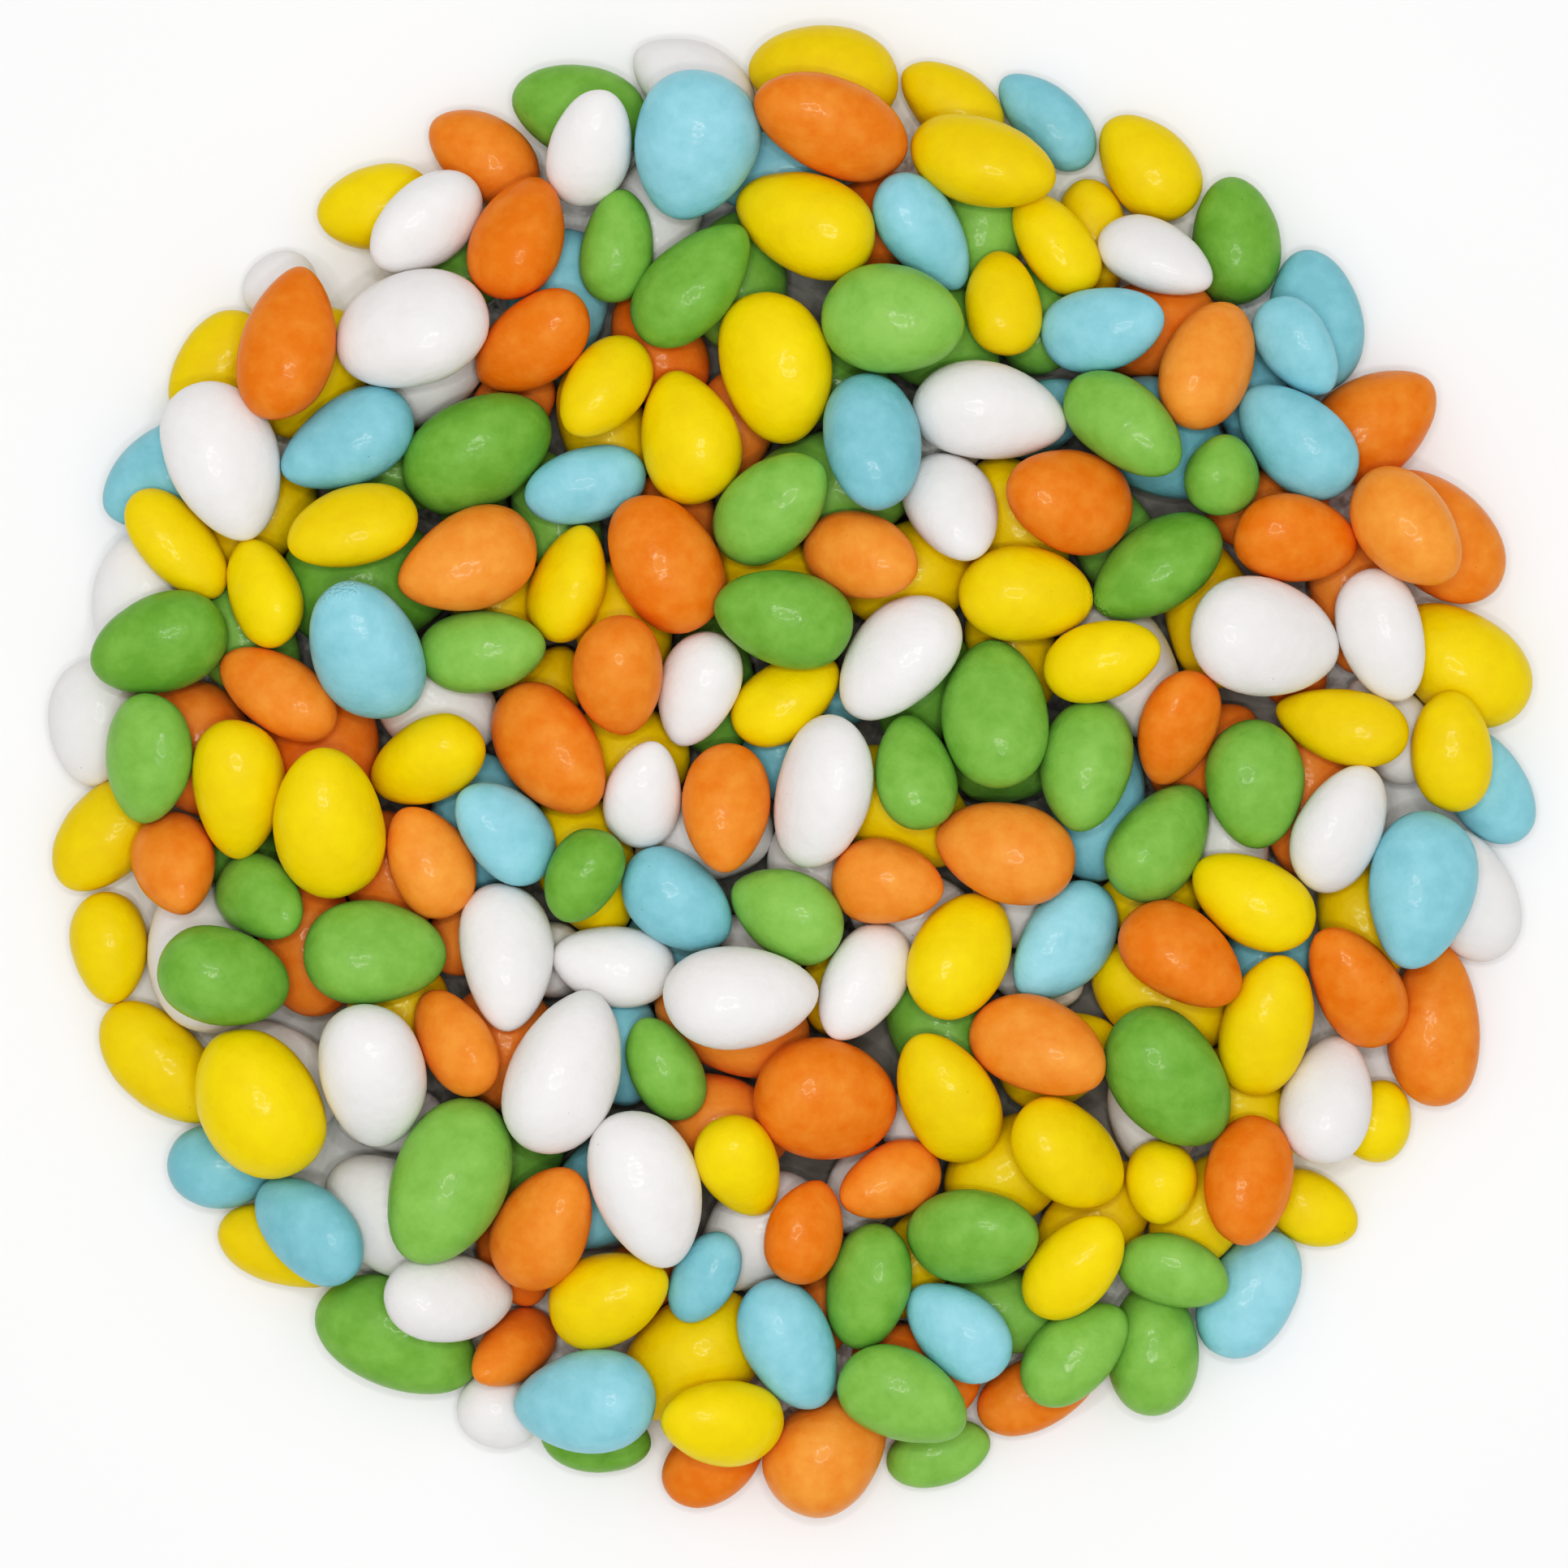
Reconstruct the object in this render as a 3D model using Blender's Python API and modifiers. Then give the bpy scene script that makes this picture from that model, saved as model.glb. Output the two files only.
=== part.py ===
"""Sugared almonds: a round heap, two almonds deep, tipped out on a table and spread flat by hand.

The heap is one solid. A low flat core stands for what lies hidden inside, and each almond is fused to it
at its true size, with few sides. Where they lie is found by letting two layers of almonds sink, one after
the other, onto the table and onto each other, held in by the heap's round outline.
"""

import math

import bmesh
import bpy
import numpy as np
from mathutils import Matrix, Vector

NAME = "sugared_almonds"
SEED, COLOUR_SEED = 20, 272

# The heap, in metres: how many almonds lie in each layer, and how far out the layer reaches, with the
# height of the soft waves in its outline
LOWER_COUNT = 143
RIM_COUNT = 37
UPPER_COUNT = 131
LOWER_EDGE = (0.1395, 0.0)
UPPER_EDGE = (0.1295, 0.0075)

# One almond: its length, then its width as a share of that, and its thickness as a share of the width.
# A few are runts, short and nearly round.
LENGTH, LENGTH_SPREAD = 0.0258, 0.0031
SHORTEST, LONGEST = 0.0180, 0.0325
WIDTH_SHARE, WIDTH_SPREAD = 0.675, 0.055
SLIMMEST, PLUMPEST = 0.55, 0.86
THICKNESS_SHARE, THICKNESS_SPREAD = 0.80, 0.045
FLATTEST, ROUNDEST = 0.68, 0.92
RUNT_SHARE = 0.03
RUNT_LENGTHS = (0.0145, 0.0175)
RUNT_WIDTH_SHARES = (0.86, 0.96)
TAPER_LEAST, TAPER_MOST = 0.04, 0.20

# The facets of an almond, how far they stand out so that their mean radius is the true one,
# and how deep its unseen underside reaches into what carries it
SEGMENTS, RINGS = 6, 4
FACET_GROWTH = 1.05
UNDERSIDE_DEPTH = 0.002
TABLE_GAP = 0.0003

# The core's turned profile, from the middle of its top out to its foot: radius and height
CORE_TOP = 0.0185
CORE_FOOT = 0.128
CORE_PROFILE = (
    (0.0, CORE_TOP),
    (CORE_FOOT - 0.020, CORE_TOP),
    (CORE_FOOT - 0.012, CORE_TOP - 0.006),
    (CORE_FOOT, 0.007),
    (CORE_FOOT, 0.0),
    (0.0, 0.0),
)
CORE_STEPS = 48
CORE_MERGE = 0.00005
SHARPEST = math.radians(50)

# Sugar colours: the share of the heap that each has, and its linear red, green and blue
COLOURS = {
    "yellow": (0.255, (0.79, 0.555, 0.0)),
    "orange": (0.22, (0.76, 0.22, 0.028)),
    "green": (0.205, (0.195, 0.40, 0.074)),
    "white": (0.185, (0.79, 0.77, 0.76)),
    "blue": (0.135, (0.24, 0.53, 0.61)),
}
SUGAR_ROUGHNESS = 0.35

# How a layer settles: steps, the fall in a step, how freely an almond slides on those below it, the most
# that it turns in a step, how near a neighbour is looked at and every how many steps, and how strongly
# an almond with several neighbours gives way
STEPS = 160
LAST_STEPS = 60
FALL, LEAST_FALL = 0.00025, 0.00003
SLIDE = 0.2
MOST_TURN = 0.15
REACH_MARGIN, LOOK_EVERY = 0.0015, 8
SHARED_PUSH = 1.3

# How a layer is laid out: how far inside its edge its outermost almonds start, how far they stray from the
# pattern in place and in heading, and how far above the middle of those below it begins to fall
RIM_INSET, BEHIND_RIM, WITHIN_EDGE = 0.010, 0.024, 0.011
STRAY, RIM_STRAY = 0.002, 0.6
LAYER_GAP, BED_LEVEL = 0.0145, 70
GOLDEN_ANGLE = math.pi * (3 - math.sqrt(5))


def dot(a, b):
    """Scalar product, row by row."""
    return (a * b).sum(-1)


def times(matrices, vectors):
    """Each row's matrix times its vector."""
    return (matrices * vectors[:, None, :]).sum(-1)


def turned(turn, spin):
    """The rotation matrices in turn, after a further rotation about the vectors in spin."""
    angle = np.sqrt(dot(spin, spin))
    x, y, z = (spin / np.maximum(angle, 1e-12)[:, None]).T
    zero = np.zeros(len(spin))
    cross = np.moveaxis(np.array([[zero, -z, y], [z, zero, -x], [-y, x, zero]]), 2, 0)
    square = np.einsum("nij,njk->nik", cross, cross)
    sine = np.sin(angle)[:, None, None]
    versine = (1 - np.cos(angle))[:, None, None]
    return np.einsum("nij,njk->nik", np.eye(3) + sine * cross + versine * square, turn)


def forms(turn, half):
    """The matrix of each ellipsoid: its squared half axes, turned into place."""
    axes = turn * half[:, None, :]
    return np.einsum("nik,njk->nij", axes, axes)


def contacts(centre, form, first, second, rounds=7):
    """For pairs of ellipsoids: how deep they overlap, the way from one to the other, and where they meet."""
    gap = centre[second] - centre[first]
    a = form[first]
    b = form[second]
    low = np.zeros(len(first))
    high = np.ones(len(first))
    for _ in range(rounds):
        share = (low + high) / 2
        x, y, z = np.moveaxis((1 - share)[:, None, None] * a + share[:, None, None] * b, 2, 0)
        way = np.stack([dot(np.cross(y, z), gap), dot(np.cross(z, x), gap), dot(np.cross(x, y), gap)], 1)
        way /= np.sqrt(dot(way, way))[:, None]
        lean = (1 - share) ** 2 * dot(way, times(a, way)) - share**2 * dot(way, times(b, way))
        low = np.where(lean > 0, share, low)
        high = np.where(lean > 0, high, share)
    reach_a = np.sqrt(dot(way, times(a, way)))
    reach_b = np.sqrt(dot(way, times(b, way)))
    point_a = centre[first] + times(a, way) / reach_a[:, None]
    point_b = centre[second] - times(b, way) / reach_b[:, None]
    return reach_a + reach_b - dot(gap, way), way, (point_a + point_b) / 2


def neighbours(centre, reach, loose):
    """The pairs that may touch, with at least one loose almond in each."""
    first, second = np.triu_indices(len(centre), 1)
    gap = centre[first] - centre[second]
    near = dot(gap, gap) < (reach[first] + reach[second]) ** 2
    near &= loose[first] | loose[second]
    return first[near], second[near]


def outline(edge, angle):
    """How far out a layer reaches in each direction: a circle, with a few soft waves in it."""
    radius, wave = edge
    return radius + wave * (np.sin(3 * angle + 1) + np.sin(5 * angle)) / 2


def settle(centre, turn, half, loose, edge, steps, fall):
    """Lowers the loose almonds step by step and parts those that overlap. Returns how they are turned."""
    reach = half.max(1) + REACH_MARGIN
    inertia = (np.roll(half, 1, 1) ** 2 + np.roll(half, 2, 1) ** 2) / 5
    free = loose.astype(float)
    for step in range(steps):
        if fall:
            centre[loose, 2] -= fall * (1 - step / steps) + LEAST_FALL
        if step % LOOK_EVERY == 0:
            first, second = neighbours(centre, reach, loose)
        form = forms(turn, half)
        ease = np.einsum("nij,nj,nkj->nik", turn, 1 / inertia, turn)
        moved = np.zeros_like(centre)
        spin = np.zeros_like(centre)
        touches = np.zeros(len(centre))

        def give(which, point, way):
            lever = np.cross(point - centre[which], way)
            return free[which] * (1 + dot(lever, times(ease[which], lever)))

        def push(which, point, way, force, slide=1.0):
            force = (force * free[which])[:, None]
            lever = np.cross(point - centre[which], way)
            level = np.column_stack([np.broadcast_to(slide, (len(way),))] * 2 + [np.ones(len(way))])
            np.add.at(moved, which, force * way * level)
            np.add.at(spin, which, force * times(ease[which], lever))
            np.add.at(touches, which, 1)

        # each other
        depth, way, point = contacts(centre, form, first, second)
        hit = depth > 0
        a, b, depth, way, point = first[hit], second[hit], depth[hit], way[hit], point[hit]
        force = depth / (give(a, point, way) + give(b, point, way))
        slide = np.where(loose[a] & loose[b], 1.0, SLIDE)
        push(a, point, -way, force, slide)
        push(b, point, way, force, slide)

        # the table
        down = np.sqrt(form[:, 2, 2])
        low = np.nonzero(loose & (centre[:, 2] < down))[0]
        up = np.tile([0.0, 0.0, 1.0], (len(low), 1))
        point = centre[low] - form[low][:, :, 2] / down[low][:, None]
        push(low, point, up, (down - centre[:, 2])[low] / give(low, point, up))

        # the round outline
        away = np.sqrt(dot(centre[:, :2], centre[:, :2]))
        out = np.column_stack([centre[:, :2] / np.maximum(away, 1e-9)[:, None], np.zeros(len(centre))])
        wide = np.sqrt(dot(out, times(form, out)))
        rim = outline(edge, np.arctan2(centre[:, 1], centre[:, 0]))
        past = np.nonzero(loose & (away + wide > rim))[0]
        point = centre[past] + times(form[past], out[past]) / wide[past][:, None]
        push(past, point, -out[past], (away + wide - rim)[past] / give(past, point, -out[past]))

        part = np.minimum(SHARED_PUSH / np.maximum(touches, 1), 1.0)[:, None]
        centre += moved * part
        spin *= part
        size = np.sqrt(dot(spin, spin))[:, None]
        turn = turned(turn, spin * np.minimum(1, MOST_TURN / np.maximum(size, 1e-12)))
    return turn


def layer(rng, count, rim, edge):
    """Where one layer's almonds start, in a plane: a ring round the rim, and a sunflower pattern inside."""
    radius = edge[0]
    inside = np.arange(count - rim)
    inner = radius - (BEHIND_RIM if rim else WITHIN_EDGE)
    ring = np.arange(rim) * 2 * math.pi / max(rim, 1)
    angle = np.concatenate([ring, inside * GOLDEN_ANGLE + rng.uniform(0, 2 * math.pi)])
    away = np.concatenate([np.full(rim, radius - RIM_INSET), inner * np.sqrt((inside + 0.5) / len(inside))])
    places = np.stack([away * np.cos(angle), away * np.sin(angle)], 1) + rng.normal(0, STRAY, (count, 2))
    heading = rng.uniform(0, 2 * math.pi, count)
    heading[:rim] = ring + math.pi / 2 + rng.normal(0, RIM_STRAY, rim)
    spin = np.column_stack([np.zeros(count), np.zeros(count), heading])
    return np.column_stack([places, np.zeros(count)]), turned(np.tile(np.eye(3), (count, 1, 1)), spin)


def heap(rng):
    """Centres, turns and half axes of all the almonds, settled and with the heap's middle at the origin."""
    count = LOWER_COUNT + UPPER_COUNT
    length = np.clip(rng.normal(LENGTH, LENGTH_SPREAD, count), SHORTEST, LONGEST)
    plumpness = np.clip(rng.normal(WIDTH_SHARE, WIDTH_SPREAD, count), SLIMMEST, PLUMPEST)
    runt = rng.random(count) < RUNT_SHARE
    length[runt] = rng.uniform(*RUNT_LENGTHS, runt.sum())
    plumpness[runt] = rng.uniform(*RUNT_WIDTH_SHARES, runt.sum())
    width = length * plumpness
    thickness = width * np.clip(rng.normal(THICKNESS_SHARE, THICKNESS_SPREAD, count), FLATTEST, ROUNDEST)
    half = np.stack([length, width, thickness], 1) / 2
    centre = np.zeros((0, 3))
    turn = np.zeros((0, 3, 3))
    for number, rim, edge in ((LOWER_COUNT, RIM_COUNT, LOWER_EDGE), (UPPER_COUNT, 0, UPPER_EDGE)):
        done = len(centre)
        places, heading = layer(rng, number, rim, edge)
        # the layer is first spread out in a plane of its own, a metre above the table
        places[:, 2] = 1.0
        heading = settle(places, heading, half[done : done + number], np.ones(number, bool), edge, STEPS, 0)
        start = np.percentile(centre[:, 2], BED_LEVEL) + LAYER_GAP if done else LAYER_GAP / 2
        places[:, 2] += start - 1.0
        centre = np.vstack([centre, places])
        turn = np.concatenate([turn, heading])
        loose = np.arange(len(centre)) >= done
        turn = settle(centre, turn, half[: len(centre)], loose, edge, STEPS, FALL)
    turn = settle(centre, turn, half, np.ones(count, bool), LOWER_EDGE, LAST_STEPS, 0)
    side = np.sqrt(np.einsum("nii->ni", forms(turn, half)))
    lowest = (centre - side).min(0)
    highest = (centre + side).max(0)
    middle = (lowest + highest) / 2
    return centre - [middle[0], middle[1], lowest[2]], turn, half


def shuffled_colours(count):
    """A colour for each almond: the right number of each, shuffled."""
    places = np.random.default_rng(COLOUR_SEED).permutation(count)
    marks = np.cumsum([share for share, _ in COLOURS.values()])
    names = list(COLOURS)
    return [names[np.searchsorted(marks, (place + 0.5) / count)] for place in places]


def sugar_coat(colour, rgb):
    """A satin sugar shell of one colour."""
    material = bpy.data.materials.new(f"sugar_{colour}")
    material.use_nodes = True
    shader = material.node_tree.nodes["Principled BSDF"]
    shader.inputs["Base Color"].default_value = (*rgb, 1.0)
    shader.inputs["Roughness"].default_value = SUGAR_ROUGHNESS
    shader.inputs["Metallic"].default_value = 0.0
    return material


def almond(name, centre, turn, half, taper, material, collection):
    """One almond with few sides: a sphere drawn out along X, blunt at one end and slimmer at the other."""
    bm = bmesh.new()
    lying = Matrix.Rotation(math.pi / 2, 4, "Y")
    bmesh.ops.create_uvsphere(bm, u_segments=SEGMENTS, v_segments=RINGS, radius=FACET_GROWTH, matrix=lying)
    for vert in bm.verts:
        slimming = 1 - taper * vert.co.x
        vert.co.y *= slimming
        vert.co.z *= slimming
    bmesh.ops.scale(bm, vec=Vector(half), verts=bm.verts)
    place = Matrix.Translation(Vector(centre)) @ Matrix(turn.tolist()).to_4x4()
    bmesh.ops.transform(bm, matrix=place, verts=bm.verts)
    for vert in bm.verts:
        if centre[2] - vert.co.z > UNDERSIDE_DEPTH / 2:
            vert.co.z = max(vert.co.z - UNDERSIDE_DEPTH, TABLE_GAP)
    bmesh.ops.triangulate(bm, faces=bm.faces)
    mesh = bpy.data.meshes.new(name)
    bm.to_mesh(mesh)
    bm.free()
    mesh.materials.append(material)
    collection.objects.link(bpy.data.objects.new(name, mesh))


def core(material, collection):
    """The core: a flat round plate with a sloping edge, turned from its profile."""
    bm = bmesh.new()
    points = [bm.verts.new((radius, 0.0, height)) for radius, height in CORE_PROFILE]
    for above, below in zip(points, points[1:]):
        bm.edges.new((above, below))
    mesh = bpy.data.meshes.new(NAME)
    bm.to_mesh(mesh)
    bm.free()
    mesh.materials.append(material)
    body = bpy.data.objects.new(NAME, mesh)
    collection.objects.link(body)
    screw = body.modifiers.new("turned", "SCREW")
    screw.steps = CORE_STEPS
    screw.render_steps = CORE_STEPS
    screw.use_merge_vertices = True
    screw.merge_threshold = CORE_MERGE
    return body


def shells(bm):
    """The separate closed shells of a mesh as sets of faces, the largest last."""
    left = set(bm.faces)
    found = []
    while left:
        front = [left.pop()]
        shell = set(front)
        while front:
            near = {face for edge in front.pop().edges for face in edge.link_faces} & left
            left -= near
            shell |= near
            front.extend(near)
        found.append(shell)
    return sorted(found, key=len)


def fuse(body, collection):
    """Joins the collection's objects to the body, fills sealed hollows and drops loose scraps."""
    union = body.modifiers.new("fused", "BOOLEAN")
    union.operation = "UNION"
    union.operand_type = "COLLECTION"
    union.collection = collection
    union.solver = "EXACT"
    union.material_mode = "TRANSFER"
    graph = bpy.context.evaluated_depsgraph_get()
    mesh = bpy.data.meshes.new_from_object(body.evaluated_get(graph))
    body.modifiers.clear()
    body.data = mesh
    bm = bmesh.new()
    bm.from_mesh(mesh)
    for shell in shells(bm)[:-1]:
        bmesh.ops.delete(bm, geom=list(shell), context="FACES")
    bm.to_mesh(mesh)
    bm.free()
    for piece in list(collection.objects):
        bpy.data.objects.remove(piece)
    bpy.data.collections.remove(collection)


def build():
    """The whole heap: the core, the almonds in their places, and the one solid they make together."""
    for old in list(bpy.data.objects):
        bpy.data.objects.remove(old)
    part = bpy.data.collections.new("sugared almonds")
    pieces = bpy.data.collections.new("almonds to fuse")
    for collection in (part, pieces):
        bpy.context.scene.collection.children.link(collection)

    rng = np.random.default_rng(SEED)
    centre, turn, half = heap(rng)
    taper = rng.uniform(TAPER_LEAST, TAPER_MOST, len(centre))
    coats = {colour: sugar_coat(colour, rgb) for colour, (_, rgb) in COLOURS.items()}
    body = core(coats["yellow"], part)
    for number, colour in enumerate(shuffled_colours(len(centre))):
        name = f"almond_{number:03d}"
        almond(name, centre[number], turn[number], half[number], taper[number], coats[colour], pieces)
    fuse(body, pieces)
    body.data.shade_smooth()
    body.data.set_sharp_from_angle(angle=SHARPEST)


build()
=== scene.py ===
import math

import bmesh
import bpy
import numpy as np
from mathutils import Matrix, Vector, noise


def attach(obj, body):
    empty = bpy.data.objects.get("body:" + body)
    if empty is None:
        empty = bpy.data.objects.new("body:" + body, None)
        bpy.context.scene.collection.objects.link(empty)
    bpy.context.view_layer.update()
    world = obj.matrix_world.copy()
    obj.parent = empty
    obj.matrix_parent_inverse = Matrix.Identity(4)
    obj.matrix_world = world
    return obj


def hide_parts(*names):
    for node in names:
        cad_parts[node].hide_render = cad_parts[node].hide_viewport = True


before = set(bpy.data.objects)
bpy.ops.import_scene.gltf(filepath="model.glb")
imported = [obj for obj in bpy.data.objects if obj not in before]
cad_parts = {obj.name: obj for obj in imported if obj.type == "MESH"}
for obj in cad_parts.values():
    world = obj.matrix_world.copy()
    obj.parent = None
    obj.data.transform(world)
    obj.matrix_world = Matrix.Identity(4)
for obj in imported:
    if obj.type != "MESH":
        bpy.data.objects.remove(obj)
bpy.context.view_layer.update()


# The heap as it lies
# Some 270 sugared almonds, tipped out on a table and spread flat by hand until they lie two deep.
# Nothing joins them. Each has sunk onto the table or onto those below it, and rests against its neighbours.

HEAP_SEED = 20
LOWER_COUNT = 143
RIM_COUNT = 37
UPPER_COUNT = 131
# how far out each layer reaches, and how high the soft waves in its outline are
LOWER_EDGE = (0.1395, 0.0)
UPPER_EDGE = (0.1295, 0.0075)
LONG_WAVES, SHORT_WAVES = 3, 5

# the almonds' sizes: each measure's middle and spread, and how far it may go
LENGTH, LENGTH_SPREAD = 0.0258, 0.0031
SHORTEST, LONGEST = 0.0180, 0.0325
WIDTH_SHARE, WIDTH_SPREAD = 0.675, 0.055
SLIMMEST, PLUMPEST = 0.55, 0.86
THICKNESS_SHARE, THICKNESS_SPREAD = 0.80, 0.045
FLATTEST, ROUNDEST = 0.68, 0.92
RUNT_SHARE = 0.03
RUNT_LENGTHS = (0.0145, 0.0175)
RUNT_WIDTH_SHARES = (0.86, 0.96)
TAPER_LEAST, TAPER_MOST = 0.04, 0.20

# how the layers start out
RIM_INSET, BEHIND_RIM, WITHIN_EDGE = 0.010, 0.024, 0.011
STRAY, RIM_STRAY = 0.002, 0.6
GOLDEN_ANGLE = math.pi * (3 - math.sqrt(5))
SPREADING_HEIGHT = 1.0
LAYER_GAP, BED_LEVEL = 0.0145, 70

# how they settle, step by step
STEPS = 160
LAST_STEPS = 60
FALL, LEAST_FALL = 0.00025, 0.00003
SLIDE = 0.2
MOST_TURN = 0.15
REACH_MARGIN, LOOK_EVERY = 0.0015, 8
SHARED_PUSH = 1.3
NEVER_ZERO = 1e-12


def dot(a, b):
    """Scalar product, row by row."""
    return (a * b).sum(-1)


def times(matrices, vectors):
    """Each row's matrix times its vector."""
    return (matrices * vectors[:, None, :]).sum(-1)


def turned(turn, spin):
    """The rotation matrices in turn, after a further rotation about the vectors in spin."""
    angle = np.sqrt(dot(spin, spin))
    x, y, z = (spin / np.maximum(angle, NEVER_ZERO)[:, None]).T
    zero = np.zeros(len(spin))
    cross = np.moveaxis(np.array([[zero, -z, y], [z, zero, -x], [-y, x, zero]]), 2, 0)
    square = np.einsum("nij,njk->nik", cross, cross)
    sine = np.sin(angle)[:, None, None]
    versine = (1 - np.cos(angle))[:, None, None]
    return np.einsum("nij,njk->nik", np.eye(3) + sine * cross + versine * square, turn)


def forms(turn, half):
    """The matrix of each ellipsoid: its squared half axes, turned into place."""
    axes = turn * half[:, None, :]
    return np.einsum("nik,njk->nij", axes, axes)


def contacts(centre, form, first, second, rounds=7):
    """For pairs of ellipsoids: how deep they overlap, the way from one to the other, where they meet."""
    gap = centre[second] - centre[first]
    a = form[first]
    b = form[second]
    low = np.zeros(len(first))
    high = np.ones(len(first))
    for _ in range(rounds):
        share = (low + high) / 2
        x, y, z = np.moveaxis((1 - share)[:, None, None] * a + share[:, None, None] * b, 2, 0)
        way = np.stack([dot(np.cross(y, z), gap), dot(np.cross(z, x), gap), dot(np.cross(x, y), gap)], 1)
        way /= np.sqrt(dot(way, way))[:, None]
        lean = (1 - share) ** 2 * dot(way, times(a, way)) - share**2 * dot(way, times(b, way))
        low = np.where(lean > 0, share, low)
        high = np.where(lean > 0, high, share)
    reach_a = np.sqrt(dot(way, times(a, way)))
    reach_b = np.sqrt(dot(way, times(b, way)))
    point_a = centre[first] + times(a, way) / reach_a[:, None]
    point_b = centre[second] - times(b, way) / reach_b[:, None]
    return reach_a + reach_b - dot(gap, way), way, (point_a + point_b) / 2


def neighbours(centre, reach, loose):
    """The pairs that may touch, with at least one loose almond in each."""
    first, second = np.triu_indices(len(centre), 1)
    gap = centre[first] - centre[second]
    near = dot(gap, gap) < (reach[first] + reach[second]) ** 2
    near &= loose[first] | loose[second]
    return first[near], second[near]


def outline(edge, angle):
    """How far out a layer reaches in each direction: a circle, with a few soft waves in it."""
    radius, wave = edge
    return radius + wave * (np.sin(LONG_WAVES * angle + 1) + np.sin(SHORT_WAVES * angle)) / 2


def settle(centre, turn, half, loose, edge, steps, fall):
    """Lowers the loose almonds step by step and parts those that overlap. Returns how they are turned."""
    reach = half.max(1) + REACH_MARGIN
    inertia = (np.roll(half, 1, 1) ** 2 + np.roll(half, 2, 1) ** 2) / 5
    free = loose.astype(float)
    for step in range(steps):
        if fall:
            centre[loose, 2] -= fall * (1 - step / steps) + LEAST_FALL
        if step % LOOK_EVERY == 0:
            first, second = neighbours(centre, reach, loose)
        form = forms(turn, half)
        ease = np.einsum("nij,nj,nkj->nik", turn, 1 / inertia, turn)
        moved = np.zeros_like(centre)
        spin = np.zeros_like(centre)
        touches = np.zeros(len(centre))

        def give(which, point, way):
            lever = np.cross(point - centre[which], way)
            return free[which] * (1 + dot(lever, times(ease[which], lever)))

        def push(which, point, way, force, slide=1.0):
            force = (force * free[which])[:, None]
            lever = np.cross(point - centre[which], way)
            level = np.column_stack([np.broadcast_to(slide, (len(way),))] * 2 + [np.ones(len(way))])
            np.add.at(moved, which, force * way * level)
            np.add.at(spin, which, force * times(ease[which], lever))
            np.add.at(touches, which, 1)

        # each other
        depth, way, point = contacts(centre, form, first, second)
        hit = depth > 0
        a, b, depth, way, point = first[hit], second[hit], depth[hit], way[hit], point[hit]
        force = depth / (give(a, point, way) + give(b, point, way))
        slide = np.where(loose[a] & loose[b], 1.0, SLIDE)
        push(a, point, -way, force, slide)
        push(b, point, way, force, slide)

        # the table
        down = np.sqrt(form[:, 2, 2])
        low = np.nonzero(loose & (centre[:, 2] < down))[0]
        up = np.tile([0.0, 0.0, 1.0], (len(low), 1))
        point = centre[low] - form[low][:, :, 2] / down[low][:, None]
        push(low, point, up, (down - centre[:, 2])[low] / give(low, point, up))

        # the round outline
        away = np.sqrt(dot(centre[:, :2], centre[:, :2]))
        out = centre[:, :2] / np.maximum(away, NEVER_ZERO)[:, None]
        out = np.column_stack([out, np.zeros(len(centre))])
        wide = np.sqrt(dot(out, times(form, out)))
        rim = outline(edge, np.arctan2(centre[:, 1], centre[:, 0]))
        past = np.nonzero(loose & (away + wide > rim))[0]
        point = centre[past] + times(form[past], out[past]) / wide[past][:, None]
        push(past, point, -out[past], (away + wide - rim)[past] / give(past, point, -out[past]))

        part = np.minimum(SHARED_PUSH / np.maximum(touches, 1), 1.0)[:, None]
        centre += moved * part
        spin *= part
        size = np.sqrt(dot(spin, spin))[:, None]
        turn = turned(turn, spin * np.minimum(1, MOST_TURN / np.maximum(size, NEVER_ZERO)))
    return turn


def layer(rng, count, rim, edge):
    """Where one layer's almonds start, in a plane: a ring round the rim, and a sunflower pattern inside."""
    radius = edge[0]
    inside = np.arange(count - rim)
    inner = radius - (BEHIND_RIM if rim else WITHIN_EDGE)
    ring = np.arange(rim) * 2 * math.pi / max(rim, 1)
    angle = np.concatenate([ring, inside * GOLDEN_ANGLE + rng.uniform(0, 2 * math.pi)])
    away = np.concatenate([np.full(rim, radius - RIM_INSET), inner * np.sqrt((inside + 0.5) / len(inside))])
    places = np.stack([away * np.cos(angle), away * np.sin(angle)], 1) + rng.normal(0, STRAY, (count, 2))
    heading = rng.uniform(0, 2 * math.pi, count)
    heading[:rim] = ring + math.pi / 2 + rng.normal(0, RIM_STRAY, rim)
    spin = np.column_stack([np.zeros(count), np.zeros(count), heading])
    return np.column_stack([places, np.zeros(count)]), turned(np.tile(np.eye(3), (count, 1, 1)), spin)


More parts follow.
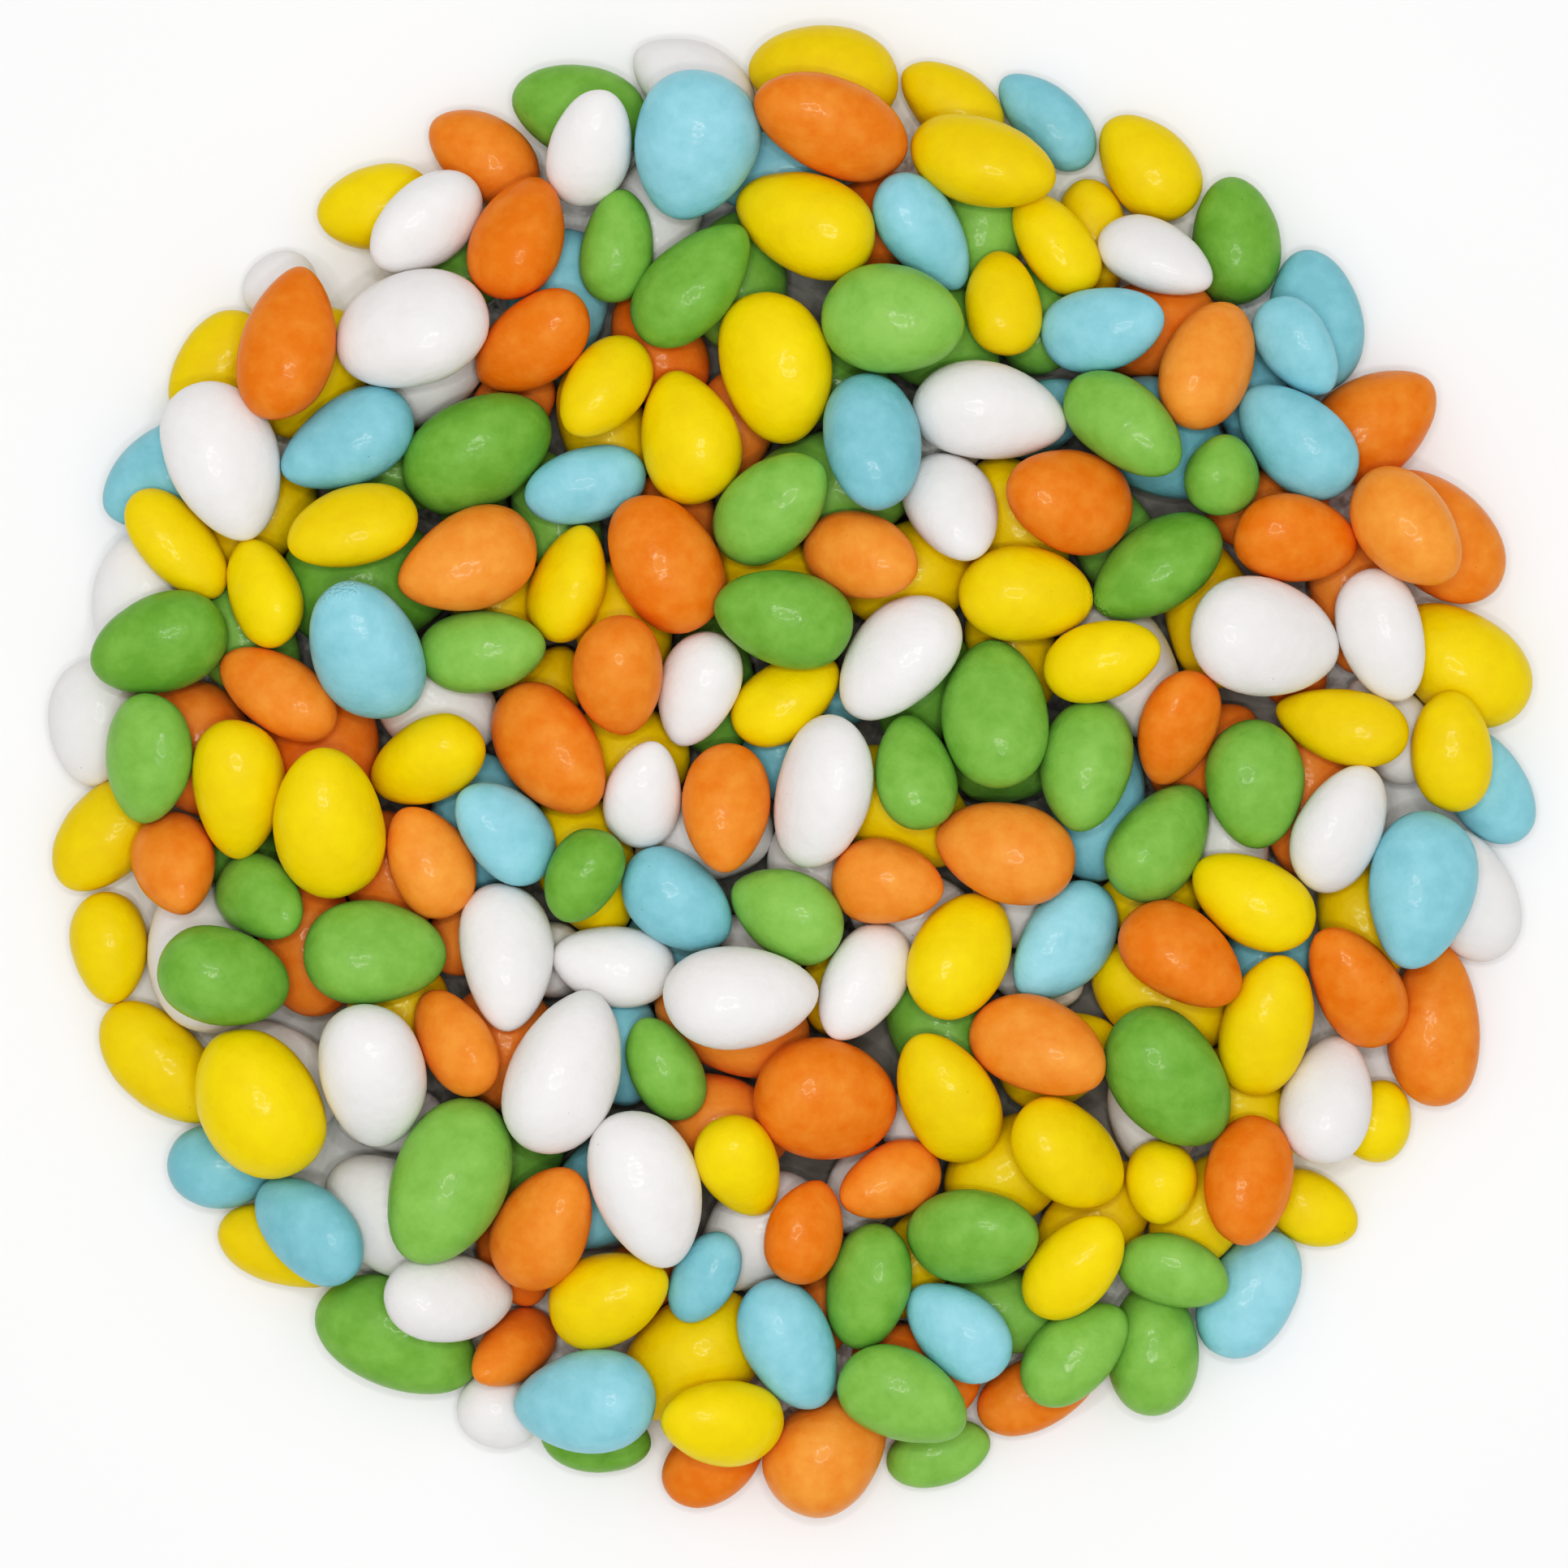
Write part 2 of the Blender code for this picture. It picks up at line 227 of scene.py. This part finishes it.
def heap(rng):
    """Centres, turns and half axes of all the almonds, settled and with the heap's middle at the origin."""
    count = LOWER_COUNT + UPPER_COUNT
    length = np.clip(rng.normal(LENGTH, LENGTH_SPREAD, count), SHORTEST, LONGEST)
    plumpness = np.clip(rng.normal(WIDTH_SHARE, WIDTH_SPREAD, count), SLIMMEST, PLUMPEST)
    # a few are runts, short and nearly round
    runt = rng.random(count) < RUNT_SHARE
    length[runt] = rng.uniform(*RUNT_LENGTHS, runt.sum())
    plumpness[runt] = rng.uniform(*RUNT_WIDTH_SHARES, runt.sum())
    width = length * plumpness
    thickness = width * np.clip(rng.normal(THICKNESS_SHARE, THICKNESS_SPREAD, count), FLATTEST, ROUNDEST)
    half = np.stack([length, width, thickness], 1) / 2
    centre = np.zeros((0, 3))
    turn = np.zeros((0, 3, 3))
    for number, rim, edge in ((LOWER_COUNT, RIM_COUNT, LOWER_EDGE), (UPPER_COUNT, 0, UPPER_EDGE)):
        done = len(centre)
        places, heading = layer(rng, number, rim, edge)
        # the layer is first spread out in a plane of its own, a metre above the table
        places[:, 2] = SPREADING_HEIGHT
        heading = settle(places, heading, half[done : done + number], np.ones(number, bool), edge, STEPS, 0)
        start = np.percentile(centre[:, 2], BED_LEVEL) + LAYER_GAP if done else LAYER_GAP / 2
        places[:, 2] += start - SPREADING_HEIGHT
        centre = np.vstack([centre, places])
        turn = np.concatenate([turn, heading])
        loose = np.arange(len(centre)) >= done
        turn = settle(centre, turn, half[: len(centre)], loose, edge, STEPS, FALL)
    turn = settle(centre, turn, half, np.ones(count, bool), LOWER_EDGE, LAST_STEPS, 0)
    side = np.sqrt(np.einsum("nii->ni", forms(turn, half)))
    lowest = (centre - side).min(0)
    highest = (centre + side).max(0)
    middle = (lowest + highest) / 2
    return centre - [middle[0], middle[1], lowest[2]], turn, half


rng = np.random.default_rng(HEAP_SEED)
centres, turns, halves = heap(rng)
tapers = rng.uniform(TAPER_LEAST, TAPER_MOST, len(centres))


# The almonds
# Each is a whole almond in a hard shell of boiled sugar, built up coat by coat in a turning pan and polished.
# The nut gives it a blunt end and a slimmer one. The thick shell rounds them off, and no two are alike.

SHAPE_SEED = 1000
# each one's form, measured against a ball of radius 1
POINT_MOST = 0.24
BEND_MOST, BEND_MIDDLE = 0.11, 0.4
LUMP_FIELD = 50
LUMP_SIZE, LUMP_HEIGHT = 1.5, 0.045
DENT_SIZE, DENT_HEIGHT = 3.2, 0.014
FLATS = 2
FLAT_DEEPEST, FLATNESS = 0.12, 0.8
SHIFT = 0.2
# the ball is drawn a little larger, since rounding it off makes it shrink
CAGE_CUTS, CAGE_GROWTH = 2, 1.08
ROUGH_TIPS, TIP_START = 0.04, 0.95
FINE_LEVELS = 2
WAVE_SIZE, WAVE_HEIGHT = 0.0055, 0.00022


def rounded_cage():
    """A ball of a few dozen faces, evenly spread: a cube cut in three each way and drawn onto a ball."""
    bm = bmesh.new()
    bmesh.ops.create_cube(bm, size=2)
    bmesh.ops.subdivide_edges(bm, edges=bm.edges, cuts=CAGE_CUTS, use_grid_fill=True)
    for vert in bm.verts:
        vert.co = Vector([math.tan(part * math.pi / 4) for part in vert.co]).normalized() * CAGE_GROWTH
    cage = bpy.data.meshes.new("cage")
    bm.to_mesh(cage)
    bm.free()
    return cage


def shape_almond(verts, half, taper, draw):
    """Shapes a ball lying along X into an almond: slimmer towards +X, bent, with flats and soft lumps."""
    seed = Vector(draw.uniform(-LUMP_FIELD, LUMP_FIELD, 3))
    bend = draw.uniform(-BEND_MOST, BEND_MOST)
    point = draw.uniform(0, POINT_MOST)
    flats = [Vector(way).normalized() for way in draw.normal(0, 1, (FLATS, 3))]
    depths = draw.uniform(0, FLAT_DEEPEST, FLATS)
    for vert in verts:
        way = vert.co.normalized()
        for side, depth in zip(flats, depths):
            past = vert.co.dot(side) - (CAGE_GROWTH - depth)
            vert.co -= side * FLATNESS * max(past, 0)
        slim = (1 - taper * way.x) * (1 - point * max(way.x, 0) ** 2)
        lumps = LUMP_HEIGHT * noise.noise(way * LUMP_SIZE + seed)
        dents = DENT_HEIGHT * noise.noise(way * DENT_SIZE - seed)
        vert.co.y *= slim
        vert.co.z *= slim
        vert.co.y += bend * (way.x**2 - BEND_MIDDLE)
        vert.co *= 1 + lumps + dents
        vert.co.x += SHIFT * taper
        vert.co = Vector([part * side for part, side in zip(vert.co, half)])


def finished(name, bm):
    """The mesh that was worked on, as a piece in the scene."""
    mesh = bpy.data.meshes.new(name)
    bm.to_mesh(mesh)
    bm.free()
    piece = bpy.data.objects.new(name, mesh)
    bpy.context.scene.collection.objects.link(piece)
    return piece


def make_almonds(name, numbers):
    """All the almonds of one colour as one mesh, each with a tone of its own. A few have a rough tip."""
    bm = bmesh.new()
    tone = bm.verts.layers.float.new("tone")
    rough_tip = bm.verts.layers.float.new("rough_tip")
    for number in numbers:
        draw = np.random.default_rng(SHAPE_SEED + int(number))
        bm.from_mesh(CAGE)
        verts = bm.verts[-len(CAGE.vertices) :]
        own = draw.uniform(-1, 1)
        rough = draw.random() < ROUGH_TIPS
        for vert in verts:
            vert[tone] = own
            vert[rough_tip] = float(rough and vert.co.x > TIP_START)
        shape_almond(verts, halves[number], tapers[number], draw)
        place = Matrix.Translation(centres[number]) @ Matrix(turns[number].tolist()).to_4x4()
        bmesh.ops.transform(bm, matrix=place, verts=verts)
    piece = finished(name, bm)
    piece.data.shade_smooth()
    shell = piece.modifiers.new("round shell", "SUBSURF")
    shell.levels = FINE_LEVELS
    shell.render_levels = FINE_LEVELS
    waves = bpy.data.textures.new(f"{name} waves", "CLOUDS")
    waves.noise_scale = WAVE_SIZE
    waves.noise_depth = 1
    waviness = piece.modifiers.new("uneven sugar", "DISPLACE")
    waviness.texture = waves
    waviness.texture_coords = "LOCAL"
    waviness.strength = WAVE_HEIGHT
    waviness.mid_level = 0.5
    return piece


# the sugar's blotches, grains, dimples and specks, each scale in lumps to the metre
BLOTCHES = {"Scale": 205.0, "Detail": 4.0, "Roughness": 0.6}
BLOTCH_RANGE = (0.3, 0.7)
TONE_SHARE = 0.38
GRAINS = {"Scale": 1500.0, "Detail": 1.0}
GRAIN_HEIGHT, TIP_GRAIN_HEIGHT = 0.00004, 0.0006
TIP_RANGE = (0.55, 0.9)
CRUMB_RANGE, CRUMB_PALENESS = (0.45, 0.65), 0.7
DIMPLES = {"Scale": 480.0, "Detail": 1.0}
DIMPLE_HEIGHT = 0.00012
SPECKS = {"Scale": 150.0}
SPECK_RANGE, SPECK_DARKNESS = (0.012, 0.024), 0.6
SCORCHED = (0.10, 0.055, 0.02, 1)

# its gloss
SATIN, DULLEST = 0.32, 0.48
GLOSS = 0.14
POLISH, POLISH_ROUGHNESS, POLISH_IOR = 0.17, 0.125, 1.4


def add_step(recipe, kind, sockets, **settings):
    """One step of a recipe: a node with its settings, and values or other steps' results in its sockets."""
    node = recipe.nodes.new(f"ShaderNode{kind}")
    for name, value in settings.items():
        setattr(node, name, value)
    for name, value in sockets.items():
        if isinstance(value, bpy.types.NodeSocket):
            recipe.links.new(value, node.inputs[name])
        else:
            node.inputs[name].default_value = value
    return node


def ranged(recipe, value, start, end, least=0.0, most=1.0, **settings):
    """What runs from least to most while the value runs from start to end, and no further."""
    sockets = {"Value": value, "From Min": start, "From Max": end, "To Min": least, "To Max": most}
    return add_step(recipe, "MapRange", sockets, **settings).outputs["Result"]


def mixed(recipe, share, first, second):
    """A colour between two others."""
    return add_step(recipe, "Mix", {0: share, 6: first, 7: second}, data_type="RGBA").outputs[2]


def sugar_coat(name, deep, pale, mottling):
    """Polished sugar of one colour: faintly mottled, pebbled like eggshell, with a few specks."""
    material = bpy.data.materials.new(name)
    material.use_nodes = True
    recipe = material.node_tree
    shader = recipe.nodes["Principled BSDF"]
    place = add_step(recipe, "TexCoord", {}).outputs["Object"]
    tone = add_step(recipe, "Attribute", {}, attribute_name="tone").outputs["Fac"]
    rough_tip = add_step(recipe, "Attribute", {}, attribute_name="rough_tip").outputs["Fac"]
    blotches = add_step(recipe, "TexNoise", {"Vector": place, **BLOTCHES}).outputs["Fac"]
    grains = add_step(recipe, "TexNoise", {"Vector": place, **GRAINS}).outputs["Fac"]
    dimples = add_step(recipe, "TexNoise", {"Vector": place, **DIMPLES}).outputs["Fac"]
    specks = add_step(recipe, "TexVoronoi", {"Vector": place, **SPECKS}).outputs["Distance"]

    # colour: blotches a few millimetres wide, and each almond a shade of its own
    share = ranged(recipe, blotches, *BLOTCH_RANGE, 0.5 - mottling, 0.5 + mottling)
    shade = add_step(recipe, "Math", {0: tone, 1: TONE_SHARE, 2: share}, operation="MULTIPLY_ADD")
    sugar = mixed(recipe, shade.outputs["Value"], (*deep, 1), (*pale, 1))

    # the rough tips, where the grains of sugar stand out like crumbs
    tip = ranged(recipe, rough_tip, *TIP_RANGE)
    crumbs = add_step(recipe, "Math", {0: grains, 1: tip}, operation="MULTIPLY").outputs["Value"]
    sugar = mixed(recipe, ranged(recipe, crumbs, *CRUMB_RANGE, 0.0, CRUMB_PALENESS), sugar, (*pale, 1))

    # tiny specks of scorched sugar
    speck = ranged(recipe, specks, *SPECK_RANGE, SPECK_DARKNESS, 0.0, interpolation_type="SMOOTHSTEP")
    recipe.links.new(mixed(recipe, speck, sugar, SCORCHED), shader.inputs["Base Color"])

    # gloss: polished, but a little duller where the sugar is pale
    recipe.links.new(ranged(recipe, blotches, *BLOTCH_RANGE, SATIN, DULLEST), shader.inputs["Roughness"])
    shader.inputs["Specular IOR Level"].default_value = GLOSS
    shader.inputs["Coat Weight"].default_value = POLISH
    shader.inputs["Coat Roughness"].default_value = POLISH_ROUGHNESS
    shader.inputs["Coat IOR"].default_value = POLISH_IOR

    # relief: soft dimples, which the polish follows too
    relief = add_step(recipe, "Bump", {"Height": dimples, "Distance": DIMPLE_HEIGHT, "Strength": 1.0})
    dimpled = relief.outputs["Normal"]
    recipe.links.new(dimpled, shader.inputs["Coat Normal"])

    # and the grains, which stand out far more on the rough tips
    standing = ranged(recipe, tip, 0.0, 1.0, GRAIN_HEIGHT, TIP_GRAIN_HEIGHT)
    rise = add_step(recipe, "Math", {0: grains, 1: standing}, operation="MULTIPLY").outputs["Value"]
    rough = add_step(recipe, "Bump", {"Height": rise, "Distance": 1.0, "Strength": 1.0, "Normal": dimpled})
    recipe.links.new(rough.outputs["Normal"], shader.inputs["Normal"])
    return material


CAGE = rounded_cage()

# the share of the heap that each colour has, its deeper and paler sugar, and how mottled it is
COLOUR_SEED = 272
COATS = {
    "yellow": (0.255, (0.755, 0.51, 0.0), (0.855, 0.63, 0.0), 0.3),
    "orange": (0.22, (0.73, 0.178, 0.006), (0.85, 0.308, 0.056), 0.3),
    "green": (0.205, (0.146, 0.333, 0.046), (0.259, 0.494, 0.11), 0.27),
    "white": (0.185, (0.745, 0.725, 0.71), (0.81, 0.79, 0.78), 0.33),
    "blue": (0.135, (0.195, 0.462, 0.53), (0.302, 0.63, 0.729), 0.28),
}
marks = np.cumsum([share for share, *_ in COATS.values()])
shuffled = np.random.default_rng(COLOUR_SEED).permutation(len(centres))
drawn = np.searchsorted(marks, (shuffled + 0.5) / len(centres))
for index, (colour, (_, deep, pale, mottling)) in enumerate(COATS.items()):
    almonds = make_almonds(f"almonds_{colour}", np.nonzero(drawn == index)[0])
    almonds.data.materials.append(sugar_coat(f"sugar_{colour}", deep, pale, mottling))
    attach(almonds, "root")
    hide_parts("sugared_almonds")


# The core
# What is seen in the deepest gaps: sugar dust that has sifted down onto the table as the heap was spread.
# It lies loose in a low drift and is dull. Its grey is painted shade for the deep gaps, and it fades to the
# table's white towards the rim, where less shade falls.

CORE_RADIUS, CORE_HEIGHT = 0.122, 0.0012
CORE_TOP, CORE_SIDES = 0.88, 64
DRIFTS = {"Scale": 120.0, "Detail": 3.0}
# painted shade: the dust's grey stands for the shade deep in the gaps, and fades to near white towards the
# rim
DEEP_DUST_AND_SHADE, PALE_DUST_AND_SHADE = (0.20, 0.19, 0.17, 1), (0.29, 0.28, 0.25, 1)
DUST_WITHOUT_SHADE, SHADE_FADES_FROM = (0.86, 0.86, 0.85, 1), 0.085
DUST_GRAINS = {"Scale": 1500.0}
DUST_HEIGHT = 0.0001
DUST_DULLNESS, DUST_GLOSS = 0.9, 0.1


def dust_and_painted_shade(name):
    """Loose sugar dust, dull, paler in places; its grey is painted shade for the deep gaps, fading to near
    white towards the rim.
    """
    material = bpy.data.materials.new(name)
    material.use_nodes = True
    recipe = material.node_tree
    shader = recipe.nodes["Principled BSDF"]
    place = add_step(recipe, "TexCoord", {}).outputs["Object"]
    drift = add_step(recipe, "TexNoise", {"Vector": place, **DRIFTS}).outputs["Fac"]
    away = add_step(recipe, "VectorMath", {0: place}, operation="LENGTH").outputs["Value"]
    # painted shade: grey dust, deeper and paler in drifts, fading to near white towards the rim
    dust_and_shade = mixed(recipe, drift, DEEP_DUST_AND_SHADE, PALE_DUST_AND_SHADE)
    dust_and_shade = mixed(recipe, ranged(recipe, away, SHADE_FADES_FROM, CORE_RADIUS), dust_and_shade, DUST_WITHOUT_SHADE)
    recipe.links.new(dust_and_shade, shader.inputs["Base Color"])
    grains = add_step(recipe, "TexNoise", {"Vector": place, **DUST_GRAINS}).outputs["Fac"]
    relief = add_step(recipe, "Bump", {"Height": grains, "Distance": DUST_HEIGHT, "Strength": 1.0})
    recipe.links.new(relief.outputs["Normal"], shader.inputs["Normal"])
    shader.inputs["Roughness"].default_value = DUST_DULLNESS
    shader.inputs["Specular IOR Level"].default_value = DUST_GLOSS
    return material


bm = bmesh.new()
bmesh.ops.create_cone(
    bm,
    cap_ends=True,
    segments=CORE_SIDES,
    radius1=CORE_RADIUS,
    radius2=CORE_RADIUS * CORE_TOP,
    depth=CORE_HEIGHT,
)
bmesh.ops.translate(bm, vec=(0, 0, CORE_HEIGHT / 2), verts=bm.verts)
core = finished("core", bm)
core.data.materials.append(dust_and_painted_shade("sugar_dust_and_painted_shade"))
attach(core, "root")
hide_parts("sugared_almonds")


# The table and the light
# A plain pale table under a soft white dome, with two facing arcs of small lamps round the lens.

TABLE_SIZE = 6.0
TABLE_COLOUR, TABLE_DULLNESS = (0.88, 0.88, 0.88, 1), 0.6
DOME_COLOUR = (1.0, 1.0, 1.0, 1)
DOME_STRENGTH, EDGE_STRENGTH = 1.04, 0.16
LENS_HEIGHT = 0.9
SENSOR_WIDTH = 36
VIEW_WIDTH = 0.2885
LOOK_AT = (-0.0015, -0.0026, 0.022)
RING_RADIUS = 0.14
LAMPS_EACH_SIDE = 5
ARC_START, ARC = math.radians(35), math.radians(115)
LAMP_SIZE = 0.02
LAMP_POWER = 0.315
ALL_COLOURS = 3
TONES = ((0.05, 0.03), (0.2, 0.185), (0.5, 0.54))

bm = bmesh.new()
bmesh.ops.create_grid(bm, x_segments=1, y_segments=1, size=TABLE_SIZE / 2)
table = finished("table", bm)
plain = bpy.data.materials.new("white table")
plain.use_nodes = True
plain.node_tree.nodes["Principled BSDF"].inputs["Base Color"].default_value = TABLE_COLOUR
plain.node_tree.nodes["Principled BSDF"].inputs["Roughness"].default_value = TABLE_DULLNESS
table.data.materials.append(plain)

world = bpy.data.worlds.new("dome")
world.use_nodes = True
dome = world.node_tree
way = add_step(dome, "TexCoord", {}).outputs["Generated"]
height = add_step(dome, "SeparateXYZ", {"Vector": way}).outputs["Z"]
glow = ranged(dome, height, 0.0, 1.0, EDGE_STRENGTH, DOME_STRENGTH)
dome.links.new(glow, dome.nodes["Background"].inputs["Strength"])
dome.nodes["Background"].inputs["Color"].default_value = DOME_COLOUR
bpy.context.scene.world = world

for side in range(2):
    for place in range(LAMPS_EACH_SIDE):
        angle = ARC_START + side * math.pi + place * ARC / (LAMPS_EACH_SIDE - 1)
        lamp = bpy.data.lights.new("lamp", "AREA")
        lamp.shape = "DISK"
        lamp.size = LAMP_SIZE
        lamp.energy = LAMP_POWER
        holder = bpy.data.objects.new("lamp", lamp)
        holder.location = (RING_RADIUS * math.cos(angle), RING_RADIUS * math.sin(angle), LENS_HEIGHT)
        bpy.context.scene.collection.objects.link(holder)

lens = bpy.data.cameras.new("camera")
lens.sensor_width = SENSOR_WIDTH
lens.lens = SENSOR_WIDTH * (LENS_HEIGHT - LOOK_AT[2]) / VIEW_WIDTH
camera = bpy.data.objects.new("camera", lens)
camera.location = (LOOK_AT[0], LOOK_AT[1], LENS_HEIGHT)
bpy.context.scene.collection.objects.link(camera)
bpy.context.scene.camera = camera

# the picture's contrast
shown = bpy.context.scene.view_settings
shown.view_transform = "Standard"
shown.use_curve_mapping = True
for level, seen in TONES:
    shown.curve_mapping.curves[ALL_COLOURS].points.new(level, seen)
shown.curve_mapping.update()
